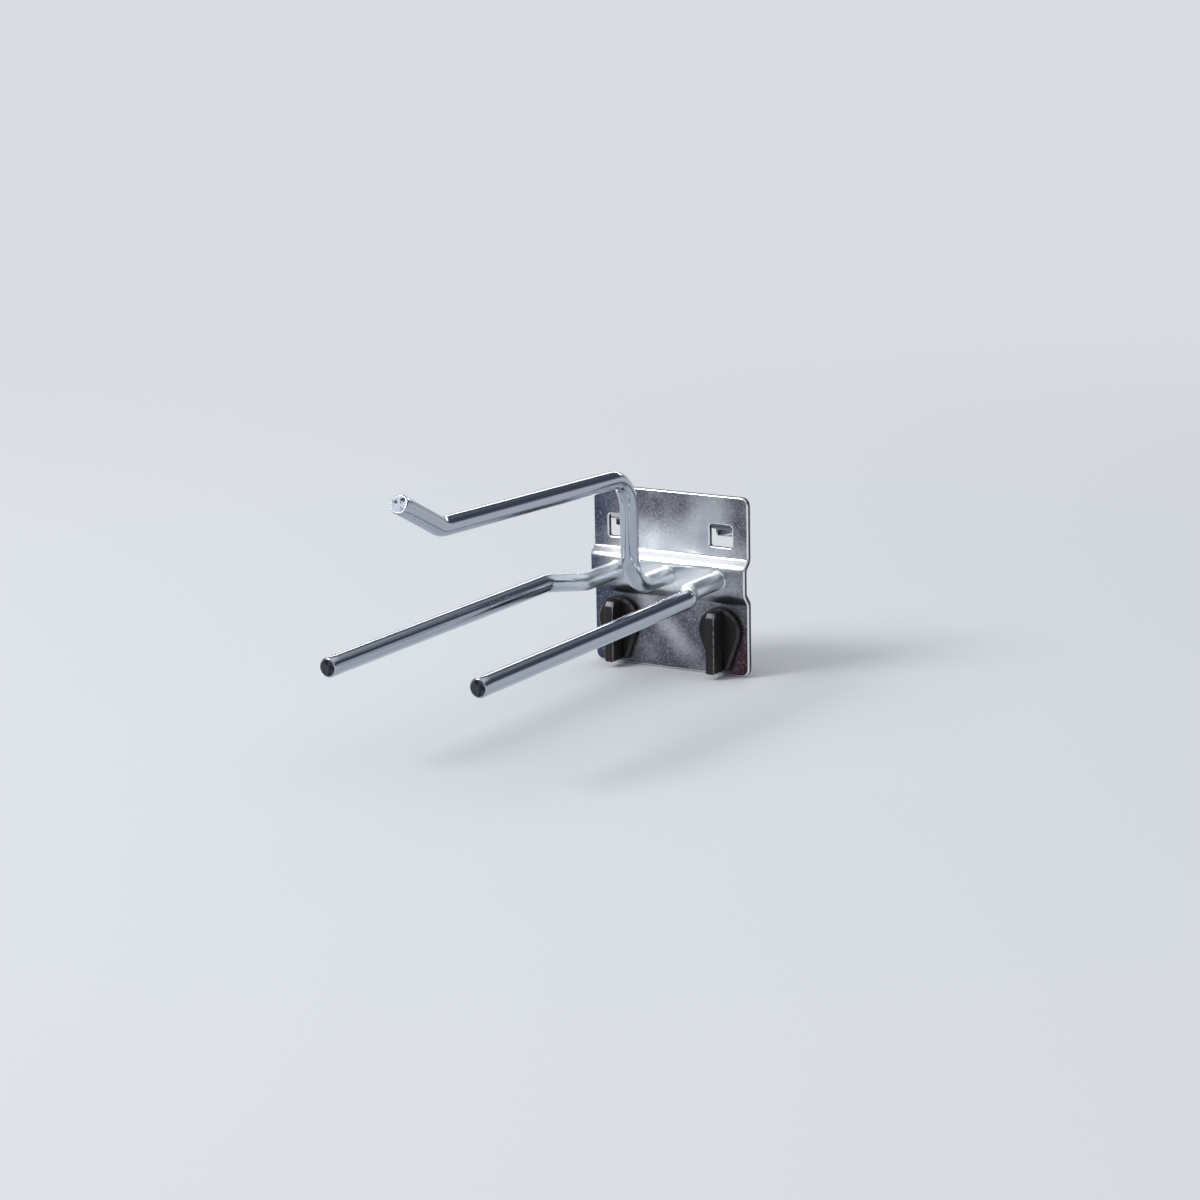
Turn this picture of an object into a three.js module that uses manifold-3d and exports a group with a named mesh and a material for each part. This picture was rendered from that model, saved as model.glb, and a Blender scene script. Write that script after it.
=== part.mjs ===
// Pliers holder for a perforated tool panel, in millimetres.
// The origin is on the panel's face, midway between the two turn locks.
// +X is to the right as a user sees it, +Y goes into the panel and +Z is up.

import * as THREE from 'three';
import { mergeVertices } from 'three/addons/utils/BufferGeometryUtils.js';
import Module from 'manifold-3d';

const wasm = await Module();
wasm.setup();

// The perforated panel that the holder is made for
const holePitch = 38;
const panelHole = 10;
const panelSheet = 1.6;

// Back plate: one pressed piece of sheet steel
const sheet = 2;
const sheetBend = 2.4;
const plateWidth = 58;
const plateTop = 44.6;
const plateBottom = -15;
const plateCorner = 2.8;

// Band pressed forward across the plate, which leaves room for the rivet heads
const bandRise = 2.7;
const bandTop = 21.3;
const bandBottom = 12.7;
const bandTopSlope = 2.4;
const bandBottomSlope = 3.3;

// Windows with the hook tabs that are lanced from them
const windowWidth = 8.4;
const windowHeight = 7.4;
const windowCorner = 0.8;
const tabSideGap = 0.2;
const tabBend = 1.6;
const tabPanelGap = 0.5;

// Bent wire rods
const wireRadius = 3;
const wireSides = 32;
const tipChamfer = 0.45;
const tenonRadius = 2.2;
const tenonClearance = 0.05;
const seatGap = 0.05;
const rivetRadius = 3.6;
const rivetHeight = 1.5;
const rivetEdge = 0.5;
const collarRadius = 3.35;
const collarLength = 0.6;
const collarEdge = 0.3;

// Lower arms, which run out beside the tool; they are bent outwards and a little upwards
const armSpread = 26.2;
const armStraight = 19.8;
const armSlantLength = 12.5;
const armBend = 8;
const armLift = 1.3;
const armReach = 158.6;
const armTipLift = 0.85;

// Upper arm, which the tool hangs over
const stubReach = 27.9;
const stubBend = 11;
const upperBend = 11.5;
const upperHeight = 54.2;
const upperRise = 3.9;
const upperReach = 136.1;
const tipBend = 10;
const tipReach = 21.1;
const tipRise = 10.7;

// Turn locks: one moulding each
const lockPlateGap = 0.2;
const skirtRadius = 7.6;
const skirtTailHalf = 3.4;
const skirtTailDrop = 13.3;
const skirtTailCorner = 0.9;
const skirtThickness = 2.4;
const skirtEdge = 0.9;
const finRootHalf = 1.75;
const finFrontHalf = 1.6;
const finRise = 8.4;
const finTop = 7;
const finBottom = 13.2;
const finCorner = 0.6;
const finFrontEdge = 0.25;
const finTopChamfer = 1.4;
const slotWidth = 0.5;
const slotDepth = 0.9;
const slotTop = -6.5;
const slotBottom = -12.2;
const neckRadius = 4.7;
const noseHalf = 4.7;
const noseCorner = 1.1;
const noseLength = 2.4;
const noseTaper = 2;
const noseTipHalf = 3.1;
const noseTipCorner = 0.7;
const nosePanelGap = 0.4;

// Facets and cuts
const bendSteps = 6;
const cornerSteps = 5;
const roundSteps = 32;
const beltSteps = 48;
const overrun = 1;
const weld = 1e-4;

const lockSpread = holePitch / 2;
const rodHeight = (bandTop + bandBottom) / 2;
const plateFace = -sheet;
const bandFace = -(sheet + bandRise);
const bandBack = -bandRise;

// The hook tab lies on the lower edge of the panel's next row of holes
const tabUnderside = holePitch - panelHole / 2;
const windowTop = tabUnderside + sheet;
const windowMiddle = windowTop - windowHeight / 2;

// Solids

function withoutFlatTriangles(index) {
  const kept = [];
  for (let i = 0; i < index.length; i += 3) {
    const [a, b, c] = [index[i], index[i + 1], index[i + 2]];
    if (a !== b && b !== c && c !== a) {
      kept.push(a, b, c);
    }
  }
  return new Uint32Array(kept);
}

function toSolid(geometry) {
  const bare = geometry.clone();
  bare.deleteAttribute('normal');
  bare.deleteAttribute('uv');
  const merged = mergeVertices(bare, weld);
  return new wasm.Manifold(new wasm.Mesh({
    numProp: 3,
    vertProperties: new Float32Array(merged.attributes.position.array),
    triVerts: withoutFlatTriangles(merged.index.array),
  }));
}

function toGeometry(solid) {
  const mesh = solid.getMesh();
  const geometry = new THREE.BufferGeometry();
  geometry.setAttribute('position', new THREE.BufferAttribute(mesh.vertProperties, 3));
  geometry.setIndex(new THREE.BufferAttribute(mesh.triVerts, 1));
  geometry.computeVertexNormals();
  return geometry;
}

// Outlines are drawn as seen from the front, and extruded towards the viewer from y = back
function extrudeForward(shape, back, depth) {
  const geometry = new THREE.ExtrudeGeometry(shape, {
    depth, bevelEnabled: false, curveSegments: cornerSteps,
  });
  geometry.applyMatrix4(new THREE.Matrix4().makeBasis(
    new THREE.Vector3(1, 0, 0), new THREE.Vector3(0, 0, 1), new THREE.Vector3(0, -1, 0)));
  return geometry.translate(0, back, 0);
}

// Profiles are drawn with y into the panel and z up, and extruded from side to side
function extrudeAcross(shape, width) {
  const geometry = new THREE.ExtrudeGeometry(shape, { depth: width, bevelEnabled: false });
  geometry.translate(0, 0, -width / 2);
  return geometry.applyMatrix4(new THREE.Matrix4().makeBasis(
    new THREE.Vector3(0, 1, 0), new THREE.Vector3(0, 0, 1), new THREE.Vector3(1, 0, 0)));
}

function revolve(profile, sides) {
  return new THREE.LatheGeometry(profile.map(([r, y]) => new THREE.Vector2(r, y)), sides);
}

function roundedRectangle(width, height, radius) {
  const [x, y] = [width / 2, height / 2];
  const shape = new THREE.Shape();
  shape.moveTo(x - radius, -y);
  shape.absarc(x - radius, -y + radius, radius, -Math.PI / 2, 0, false);
  shape.absarc(x - radius, y - radius, radius, 0, Math.PI / 2, false);
  shape.absarc(-x + radius, y - radius, radius, Math.PI / 2, Math.PI, false);
  shape.absarc(-x + radius, -y + radius, radius, Math.PI, Math.PI * 1.5, false);
  return shape;
}

// Bent paths

// Stations along a line of corners, each corner rounded to the bend radius given for it
function bentPath(corners, radii) {
  const stations = [];
  const heading = (i) => corners[i + 1].clone().sub(corners[i]).normalize();
  stations.push({ point: corners[0].clone(), tangent: heading(0) });
  for (let i = 1; i < corners.length - 1; i += 1) {
    const [before, after] = [heading(i - 1), heading(i)];
    const radius = radii[i - 1];
    const turn = before.angleTo(after);
    const start = corners[i].clone().addScaledVector(before, -radius * Math.tan(turn / 2));
    const inward = after.clone().addScaledVector(before, -before.dot(after)).normalize();
    for (let k = 0; k <= bendSteps; k += 1) {
      const angle = turn * k / bendSteps;
      const point = start.clone()
        .addScaledVector(before, radius * Math.sin(angle))
        .addScaledVector(inward, radius * (1 - Math.cos(angle)));
      const tangent = before.clone().multiplyScalar(Math.cos(angle))
        .addScaledVector(inward, Math.sin(angle));
      stations.push({ point, tangent });
    }
  }
  const last = corners.length - 1;
  stations.push({ point: corners[last].clone(), tangent: heading(last - 1) });
  return stations;
}

// A curve that steps from station to station, so straight runs cost no facets
class StationCurve extends THREE.Curve {
  constructor(stations) {
    super();
    this.stations = stations;
  }

  getPoint(share, target = new THREE.Vector3()) {
    const place = share * (this.stations.length - 1);
    const from = Math.min(Math.floor(place), this.stations.length - 2);
    return target.lerpVectors(
      this.stations[from].point, this.stations[from + 1].point, place - from);
  }

  getPointAt(share, target) {
    return this.getPoint(share, target);
  }

  getTangentAt(share, target = new THREE.Vector3()) {
    return target.copy(this.stations[Math.round(share * (this.stations.length - 1))].tangent);
  }
}

function wire(stations) {
  const section = new THREE.Shape();
  section.absarc(0, 0, wireRadius, 0, Math.PI * 2, false);
  return new THREE.ExtrudeGeometry(section, {
    extrudePath: new StationCurve(stations),
    steps: stations.length - 1,
    curveSegments: wireSides / 2,
    bevelEnabled: false,
  });
}

// Sheet of even thickness whose middle follows a bent path in the y, z plane
function bentSheet(corners, bend, width) {
  const points = corners.map(([y, z]) => new THREE.Vector3(y, z, 0));
  const stations = bentPath(points, points.slice(2).map(() => bend));
  const side = (sign) => stations.map(({ point, tangent }) => new THREE.Vector2(
    point.x - sign * tangent.y * sheet / 2, point.y + sign * tangent.x * sheet / 2));
  return extrudeAcross(new THREE.Shape([...side(-1), ...side(1).reverse()]), width);
}

// Back plate

function plateBlank() {
  const [flat, raised] = [-sheet / 2, -sheet / 2 - bandRise];
  const profile = [
    [flat, plateBottom - overrun],
    [flat, bandBottom - bandBottomSlope],
    [raised, bandBottom],
    [raised, bandTop],
    [flat, bandTop + bandTopSlope],
    [flat, plateTop + overrun],
  ];
  const pressed = toSolid(bentSheet(profile, sheetBend, plateWidth + overrun));
  const outline = extrudeForward(
    roundedRectangle(plateWidth, plateTop - plateBottom, plateCorner),
    overrun, sheet + bandRise + overrun * 2);
  outline.translate(0, 0, (plateTop + plateBottom) / 2);
  return pressed.intersect(toSolid(outline));
}

function punch(shape, x, z) {
  const tool = extrudeForward(shape, overrun, sheet + bandRise + overrun * 2);
  return toSolid(tool.translate(x, 0, z));
}

function rodHole(x) {
  const radius = tenonRadius + tenonClearance;
  const tool = new THREE.CylinderGeometry(radius, radius, sheet + overrun * 2, wireSides);
  return toSolid(tool.translate(x, bandBack - sheet / 2, rodHeight));
}

// The tab is as long as the window that it was cut from, measured along its middle
function hookTab(x) {
  const middle = tabUnderside + sheet / 2;
  const lip = panelSheet + tabPanelGap + sheet / 2;
  const quarterBend = tabBend * Math.PI / 2;
  const run = lip + sheet / 2 - tabBend * 2;
  const lipLength = windowHeight + tabBend - sheet / 2 - quarterBend * 2 - run;
  const profile = [
    [-sheet / 2, windowTop + tabBend + overrun],
    [-sheet / 2, middle],
    [lip, middle],
    [lip, middle - tabBend - lipLength],
  ];
  const tab = bentSheet(profile, tabBend, windowWidth - tabSideGap * 2);
  return toSolid(tab.translate(x, 0, 0));
}

function backPlate() {
  let plate = plateBlank();
  for (const x of [-lockSpread, lockSpread]) {
    const window = roundedRectangle(windowWidth, windowHeight, windowCorner);
    plate = plate.subtract(punch(window, x, windowMiddle));
    plate = plate.add(hookTab(x));
    plate = plate.subtract(punch(roundedRectangle(panelHole, panelHole, windowCorner), x, 0));
  }
  for (const x of [-lockSpread, 0, lockSpread]) {
    plate = plate.subtract(rodHole(x));
  }
  return toGeometry(plate);
}

// Rods

// Collar, tenon and rivet head at the plate, turned about the y axis
function rodRoot(x) {
  const shoulder = bandFace - seatGap;
  const headSeat = bandBack + seatGap;
  const headTop = headSeat + rivetHeight;
  const root = revolve([
    [0, shoulder - collarLength],
    [collarRadius - collarEdge, shoulder - collarLength],
    [collarRadius, shoulder - collarLength + collarEdge],
    [collarRadius, shoulder],
    [tenonRadius, shoulder],
    [tenonRadius, headSeat],
    [rivetRadius, headSeat],
    [rivetRadius, headSeat + rivetEdge],
    [rivetRadius - rivetEdge, headTop - rivetEdge / 2],
    [tenonRadius, headTop],
    [0, headTop],
  ], wireSides);
  return toSolid(root.translate(x, 0, rodHeight));
}

// A ring that leaves a chamfer round the wire's end
function tipCutter(end, heading) {
  const ring = revolve([
    [wireRadius + overrun, -tipChamfer - overrun],
    [wireRadius + overrun, overrun],
    [wireRadius - tipChamfer - overrun, overrun],
    [wireRadius + overrun, -tipChamfer - overrun],
  ], wireSides);
  const turn = new THREE.Quaternion().setFromUnitVectors(new THREE.Vector3(0, 1, 0), heading);
  return toSolid(ring.applyQuaternion(turn).translate(end.x, end.y, end.z));
}

function rod(corners, radii) {
  const stations = bentPath(corners, radii);
  const { point, tangent } = stations[stations.length - 1];
  return toGeometry(
    toSolid(wire(stations)).add(rodRoot(corners[0].x)).subtract(tipCutter(point, tangent)));
}

// The wire starts inside its collar
const rodStart = bandFace - seatGap - collarLength / 2;

function lowerArm(side) {
  const slantStart = bandFace - armStraight;
  const corner = (x, y, lift) => new THREE.Vector3(side * x, y, rodHeight + lift);
  return rod([
    corner(lockSpread, rodStart, 0),
    corner(lockSpread, slantStart, 0),
    corner(armSpread, slantStart - armSlantLength, armLift),
    corner(armSpread, -armReach, armTipLift),
  ], [armBend, armBend]);
}

function upperArm() {
  const corner = (y, z) => new THREE.Vector3(0, y, z);
  return rod([
    corner(rodStart, rodHeight),
    corner(-stubReach, rodHeight),
    corner(-stubReach, upperHeight),
    corner(-upperReach, upperHeight + upperRise),
    corner(-upperReach - tipReach, upperHeight + upperRise + tipRise),
  ], [stubBend, upperBend, tipBend]);
}

// Turn locks

// Closed solid through rings of points that all have the same count, from the back forwards
function loft(rings) {
  const count = rings[0].points.length;
  const positions = rings.flatMap(({ y, points }) => points.flatMap((p) => [p.x, y, p.y]));
  const index = [];
  for (let r = 0; r < rings.length - 1; r += 1) {
    for (let i = 0; i < count; i += 1) {
      const [a, b] = [r * count + i, r * count + (i + 1) % count];
      index.push(a, b, b + count, a, b + count, a + count);
    }
  }
  const front = (rings.length - 1) * count;
  for (const [a, b, c] of THREE.ShapeUtils.triangulateShape(rings[0].points, [])) {
    index.push(a, c, b);
  }
  for (const [a, b, c] of THREE.ShapeUtils.triangulateShape(rings[rings.length - 1].points, [])) {
    index.push(front + a, front + b, front + c);
  }
  const geometry = new THREE.BufferGeometry();
  geometry.setAttribute('position', new THREE.Float32BufferAttribute(positions, 3));
  geometry.setIndex(index);
  return geometry;
}

// Outline round a set of circles, as a belt would lie, moved inwards by the inset
function beltOutline(circles, inset) {
  return Array.from({ length: beltSteps }, (_, i) => {
    const angle = Math.PI * 2 * (i + 1 / 2) / beltSteps;
    const outward = new THREE.Vector2(Math.cos(angle), Math.sin(angle));
    const reach = ([x, z, radius]) => x * outward.x + z * outward.y + radius;
    const [x, z, radius] = circles.reduce((best, next) => (
      reach(next) > reach(best) ? next : best));
    return new THREE.Vector2(x, z).addScaledVector(outward, radius - inset);
  });
}

// The skirt covers the plate's square hole, and its tail points down when the lock is shut
const skirtCircles = [
  [0, 0, skirtRadius],
  [skirtTailHalf - skirtTailCorner, skirtTailCorner - skirtTailDrop, skirtTailCorner],
  [skirtTailCorner - skirtTailHalf, skirtTailCorner - skirtTailDrop, skirtTailCorner],
];
const skirtBack = plateFace - lockPlateGap;
const skirtFront = skirtBack - skirtThickness;

function skirt() {
  return loft([
    { y: skirtBack, points: beltOutline(skirtCircles, 0) },
    { y: skirtFront + skirtEdge, points: beltOutline(skirtCircles, 0) },
    { y: skirtFront, points: beltOutline(skirtCircles, skirtEdge) },
  ]);
}

function finOutline(half, top, inset) {
  const corner = (side, z) => [side * (half - finCorner), z, finCorner];
  return beltOutline([
    corner(1, top - finCorner), corner(-1, top - finCorner),
    corner(1, finCorner - finBottom), corner(-1, finCorner - finBottom),
  ], inset);
}

// The grip: a straight upright wing with draft, its front top edge cut off at a slant
function fin() {
  const front = plateFace - finRise;
  return loft([
    { y: skirtFront + skirtEdge, points: finOutline(finRootHalf, finTop, 0) },
    { y: front + finTopChamfer, points: finOutline(finFrontHalf, finTop, 0) },
    { y: front + finFrontEdge, points: finOutline(finFrontHalf, finTop - finTopChamfer, 0) },
    { y: front, points: finOutline(finFrontHalf, finTop - finTopChamfer, finFrontEdge) },
  ]);
}

// The square nose lies across the panel's hole when the lock is shut
function nose() {
  const start = panelSheet + nosePanelGap;
  const square = (half, corner) => roundedRectangle(half * 2, half * 2, corner)
    .extractPoints(cornerSteps).shape.map((p) => p.rotateAround(new THREE.Vector2(), Math.PI / 4));
  return loft([
    { y: start + noseLength + noseTaper, points: square(noseTipHalf, noseTipCorner) },
    { y: start + noseLength, points: square(noseHalf, noseCorner) },
    { y: start, points: square(noseHalf, noseCorner) },
  ]);
}

function neck() {
  const [from, to] = [skirtFront + skirtEdge, panelSheet + nosePanelGap * 2];
  const barrel = new THREE.CylinderGeometry(neckRadius, neckRadius, to - from, roundSteps);
  return barrel.translate(0, (from + to) / 2, 0);
}

// A narrow slot in the skirt beside the grip's tail
function rootSlot(side) {
  const slot = new THREE.BoxGeometry(slotWidth, slotDepth * 2, slotTop - slotBottom);
  return toSolid(slot.translate(
    side * (finRootHalf + slotWidth / 2), skirtFront, (slotTop + slotBottom) / 2));
}

function turnLock() {
  let lock = toSolid(skirt());
  for (const side of [-1, 1]) {
    lock = lock.subtract(rootSlot(side));
  }
  for (const piece of [fin(), neck(), nose()]) {
    lock = lock.add(toSolid(piece));
  }
  return toGeometry(lock);
}

// Assembly

const zincPlate = new THREE.MeshStandardMaterial({
  color: 0xa9aaae, roughness: 0.42, metalness: 0.9,
});
const zincWire = new THREE.MeshStandardMaterial({
  color: 0xc2c8ce, roughness: 0.22, metalness: 1,
});
const blackPlastic = new THREE.MeshStandardMaterial({
  color: 0x1d1a19, roughness: 0.55, metalness: 0,
});

function named(name, geometry, material, x = 0) {
  const mesh = new THREE.Mesh(geometry, material);
  mesh.name = name;
  mesh.position.x = x;
  return mesh;
}

const holder = new THREE.Group();
holder.name = 'pliers_holder';
holder.add(
  named('back_plate', backPlate(), zincPlate),
  named('left_arm', lowerArm(-1), zincWire),
  named('right_arm', lowerArm(1), zincWire),
  named('upper_arm', upperArm(), zincWire),
  named('left_turn_lock', turnLock(), blackPlastic, -lockSpread),
  named('right_turn_lock', turnLock(), blackPlastic, lockSpread),
);

export default holder;
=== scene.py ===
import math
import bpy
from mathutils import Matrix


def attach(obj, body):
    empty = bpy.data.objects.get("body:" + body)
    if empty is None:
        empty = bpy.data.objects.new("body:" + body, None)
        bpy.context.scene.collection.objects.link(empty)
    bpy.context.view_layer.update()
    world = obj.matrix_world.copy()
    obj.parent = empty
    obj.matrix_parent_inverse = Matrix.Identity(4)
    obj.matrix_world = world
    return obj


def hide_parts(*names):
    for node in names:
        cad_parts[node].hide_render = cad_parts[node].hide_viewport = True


bl_info = {
    "name": "Pliers Holder",
    "version": (1, 0, 0),
    "blender": (4, 5, 0),
    "location": "View3D > Sidebar > Pliers Holder",
    "description": "Builds a zinc-plated pliers holder with wire arms and two turn locks",
    "category": "Add Mesh",
}

import bmesh
import bpy
from bpy.props import FloatProperty, FloatVectorProperty, PointerProperty
from bpy.types import Operator, Panel, PropertyGroup
from mathutils import Matrix, Vector

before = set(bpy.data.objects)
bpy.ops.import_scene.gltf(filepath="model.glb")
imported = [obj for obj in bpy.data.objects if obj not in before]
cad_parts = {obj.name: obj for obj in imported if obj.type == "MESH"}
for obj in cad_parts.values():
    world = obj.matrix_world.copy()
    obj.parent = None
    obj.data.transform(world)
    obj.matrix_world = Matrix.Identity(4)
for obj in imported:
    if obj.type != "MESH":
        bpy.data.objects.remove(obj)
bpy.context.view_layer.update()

MM = 0.001

# Back plate: the places are those of the middle of the sheet
PLATE_CORNER = 2.8 * MM
SHEET_BEND = 2.4 * MM
SHEET_EDGE = 0.45 * MM
BAND_TOP = 21.3 * MM
BAND_BOTTOM = 12.7 * MM
BAND_TOP_SLOPE = 2.4 * MM
BAND_BOTTOM_SLOPE = 3.3 * MM
LOCK_HOLE = 10 * MM
HOLE_CORNER = 0.8 * MM
WINDOW_WIDTH = 8.4 * MM
WINDOW_BOTTOM = 27.6 * MM
WINDOW_TOP = 35 * MM
ROD_HOLE = 2.25 * MM
LOCK_SPREAD = 19 * MM
ROD_HEIGHT = 17 * MM

# Hook tabs: each is drawn out of the sheet above its window, a little thinner than the sheet
TAB_THICKNESS = 1.65 * MM
TAB_WIDTH = 8.2 * MM
TAB_BACK = -0.02 * MM
TAB_ROOT = 0.8 * MM
TAB_UNDERSIDE = 33 * MM
TAB_BEND = 1.6 * MM
TAB_LIP_FACE = 2.1 * MM
TAB_TIP = 30.3 * MM

# Rods: each starts at its shoulder in front of the band, and is riveted over behind it
SEAT_GAP = 0.05 * MM
ROD_FACET = 4 * MM
TIP_CHAMFER = 0.45 * MM
COLLAR_RADIUS = 3.35 * MM
COLLAR_LENGTH = 0.6 * MM
COLLAR_EDGE = 0.3 * MM
TENON_RADIUS = 2.2 * MM
RIVET_RADIUS = 3.6 * MM
RIVET_HEIGHT = 1.5 * MM
RIVET_EDGE = 0.5 * MM
ARM_STRAIGHT = 19.8 * MM
ARM_SLANT = 12.5 * MM
ARM_BEND = 8 * MM
ARM_LIFT = 1.3 * MM
ARM_TIP_LIFT = 0.85 * MM
STUB_REACH = 27.9 * MM
STUB_BEND = 11 * MM
UPPER_BEND = 11.5 * MM
UPPER_RISE = 3.9 * MM
TIP_BEND = 10 * MM
TIP_REACH = 21.1 * MM
TIP_RISE = 10.7 * MM

# Turn locks: heights and depths from the lock's own centre, level with the plate's back
LOCK_PLATE_GAP = 0.2 * MM
SKIRT_TAIL_HALF = 3.4 * MM
SKIRT_TAIL_CORNER = 0.9 * MM
SKIRT_THICKNESS = 2.4 * MM
SKIRT_EDGE = 0.9 * MM
MOULD_EDGE = 0.15 * MM
FIN_ROOT_HALF = 1.75 * MM
FIN_FRONT_HALF = 1.6 * MM
FIN_TOP = 7 * MM
FIN_BOTTOM = 13.2 * MM
FIN_CORNER = 0.6 * MM
FIN_TOP_CHAMFER = 1.4 * MM
FIN_FRONT_EDGE = 0.25 * MM
SLOT_WIDTH = 0.5 * MM
SLOT_DEPTH = 0.9 * MM
SLOT_TOP = -6.5 * MM
SLOT_BOTTOM = -12.2 * MM
NECK_RADIUS = 4.7 * MM
NOSE_HALF = 4.7 * MM
NOSE_CORNER = 1.1 * MM
NOSE_START = 2 * MM
NOSE_LENGTH = 2.4 * MM
NOSE_TAPER = 2 * MM
NOSE_TIP_HALF = 3.1 * MM
NOSE_TIP_CORNER = 0.7 * MM

# Facets and cuts
BEND_STEPS = 16
EDGE_STEPS = 3
CORNER_STEPS = 8
WIRE_SIDES = 64
BELT_STEPS = 96
CUT_REACH = 1e-7
SHARP_ANGLE = math.radians(50)
LOCK_SHARP_ANGLE = math.radians(25)
FLAT_FACE_WEIGHT = 100

# Which of a piece's materials a face has
MAIN_FACE = 0
CUT_FACE = 1
# The locks' second and third materials are painted highlights
HIGHLIGHT_FACE = 1
BEVEL_HIGHLIGHT_FACE = 2

# Finish of the sheet. The real crystals are about 0.1 mm and are drawn coarser, so that they show
CLOUD = 9 * MM
SKIN_GRAIN = 0.9 * MM
CRYSTAL = 0.3 * MM
# Painted highlights: middle and reach in half widths and heights, turn in degrees, strength
PAINTED_HIGHLIGHT_SHARES = [
    ((0.05, 0.7), (1.35, 0.26), 0, 1.0),
    ((0, 0.656), (1.7, 0.06), 0, 1.0),
    ((0.5, 0.92), (0.38, 0.24), 0, 0.8),
    ((0.1, 0.53), (1.3, 0.18), 0, 0.75),
    ((-0.05, 0.24), (0.2, 0.5), 42, 0.35),
]
# Ranges: where a pattern's effect starts and ends, and how strong it is at each of the two
RANGE_INPUTS = ("Value", "From Min", "From Max", "To Min", "To Max")
PATCH_SHARES = {"cloud": (0.3, 0.7, -0.12, 0.2), "skin": (0.3, 0.7, -0.14, 0.14)}
# Painted glints on the crystal grain
GLINT_SHARES = {
    "crystal_lot": (0.66, 0.9, 0, 1),
    "crystal_middle": (0.65, 0.1, 0, 0.8),
    "skin": (0.36, 0.56, 0.1, 1),
    "cloud": (0.62, 0.42, 0.2, 1),
}
SHEET_ROUGHNESS_SHARES = (0, 1, 0.38, 0.22)
# Painted shade on the flat blank, tinted like the passivation film:
# blue towards the left edge, brown towards the right and lower edges
FILM_SHADE_FADES = [
    ("X", (-14 * MM, -29 * MM, 0, 0.95)),
    ("X", (16 * MM, 28 * MM, 0, 1)),
    ("Y", (25 * MM, 6 * MM, 0, 0.95)),
]

# Finish of the sheet's cut edge: a burnished rim along its front, and shear marks
EDGE_RIM = 0.4 * MM
RIM_BLUR = 0.08 * MM
SHEAR_MARK = 0.5 * MM
EDGE_ROUGHNESSES = (0.5, 0.25)

# Finish of the wire: frost near the plate, drawing lines along it, torn spots on its ends
LOWER_FROST = 36 * MM
UPPER_FROST = 26 * MM
LINE_SPACING = 0.5 * MM
LINE_LENGTH = 30 * MM
TORN_SPOT = 2 * MM
TORN_SHARES = (0.54, 0.62, 0, 1)
WIRE_ROUGHNESSES = (0.13, 0.32)
END_ROUGHNESSES = (0.28, 0.55)

# Finish of the moulding: flow streaks that grow stronger towards the tail, mould grain,
# and painted highlights on the grip's front edges and the skirt's bevel
STREAK_SPACING = 0.5 * MM
STREAK_LENGTH = 9 * MM
STREAK_SHARES = (0.35, 0.75, 0, 1)
TAIL_FADE = (-3 * MM, -12 * MM, 0.25, 0.9)
MOULD_GRAIN = 0.25 * MM
MOULDED_ROUGHNESS_SHARES = (0.3, 0.7, 0.42, 0.58)
# Patches of painted highlight on the moulding's edges
HIGHLIGHT_PATCH = 1.5 * MM
HIGHLIGHT_PATCH_SHARES = (0.35, 0.6, 0, 1)

# Base values of the finishes, the same all over each
METAL = {"Metallic": 1}
MOULDED = {"Metallic": 0, "Specular IOR Level": 0.32}
# The next is for the painted highlights on the moulding's edges
PAINTED_HIGHLIGHT_BASE = {"Metallic": 0, "Roughness": 0.33}

# Reliefs: share of their full strength, and depth
SKIN_RELIEF = (0.35, 0.06 * MM)
SHEAR_RELIEF = (0.25, 0.04 * MM)
LINE_RELIEF = (0.12, 0.03 * MM)
TORN_RELIEF = (0.4, 0.2 * MM)
GRAIN_RELIEF = (0.25, 0.05 * MM)

# Camera at the photograph's angle
CAMERA_PLACE = Vector((0.52672, -0.92005, 0.25555))
CAMERA_RIGHT = Vector((0.85834202, 0.5127375, -0.01868773))
CAMERA_DOWN = Vector((0.10096266, -0.20450176, -0.97364551))
CAMERA_LENS = 99.183
CAMERA_SENSOR = 36

# Stage: places and sizes in metres
FLOOR_GAP = 0.2 * MM
FLOOR_HALF = 3.0
FLOOR_NEAR = 0.2
FLOOR_FAR = 1.0
LAMP_TARGET = Vector((0, -0.07, 0.02))
LAMP_PLACES = {"key_light": (-1.2, -1.56, 1.46), "rim_light": (-0.5, 1.3, 0.55)}
LAMP_SIZES = {"key_light": (1.0, 1.0), "rim_light": (1.4, 0.12)}
# Heights in the sky, as shares of the way from the horizon to straight above
WALL_SHARES = (0.05, 0.3)
CEILING_SHARES = (0.5, 0.75)


def linear_colour(hex_colour):
    """The linear colour of an sRGB hex value."""
    channels = [int(hex_colour[i : i + 2], 16) / 255 for i in (0, 2, 4)]
    return [c / 12.92 if c <= 0.04045 else ((c + 0.055) / 1.055) ** 2.4 for c in channels]


def length(name, description, default):
    """A size that a user may change."""
    return FloatProperty(
        name=name, description=description, default=default, min=0, unit="LENGTH", precision=4
    )


def colour(name, description, default):
    """A colour that a user may change."""
    return FloatVectorProperty(
        name=name,
        description=description,
        default=linear_colour(default),
        min=0,
        max=1,
        size=3,
        subtype="COLOR",
    )


def power(name, description, default):
    """A lamp's power that a user may change."""
    return FloatProperty(name=name, description=description, default=default, min=0, unit="POWER")


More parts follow.
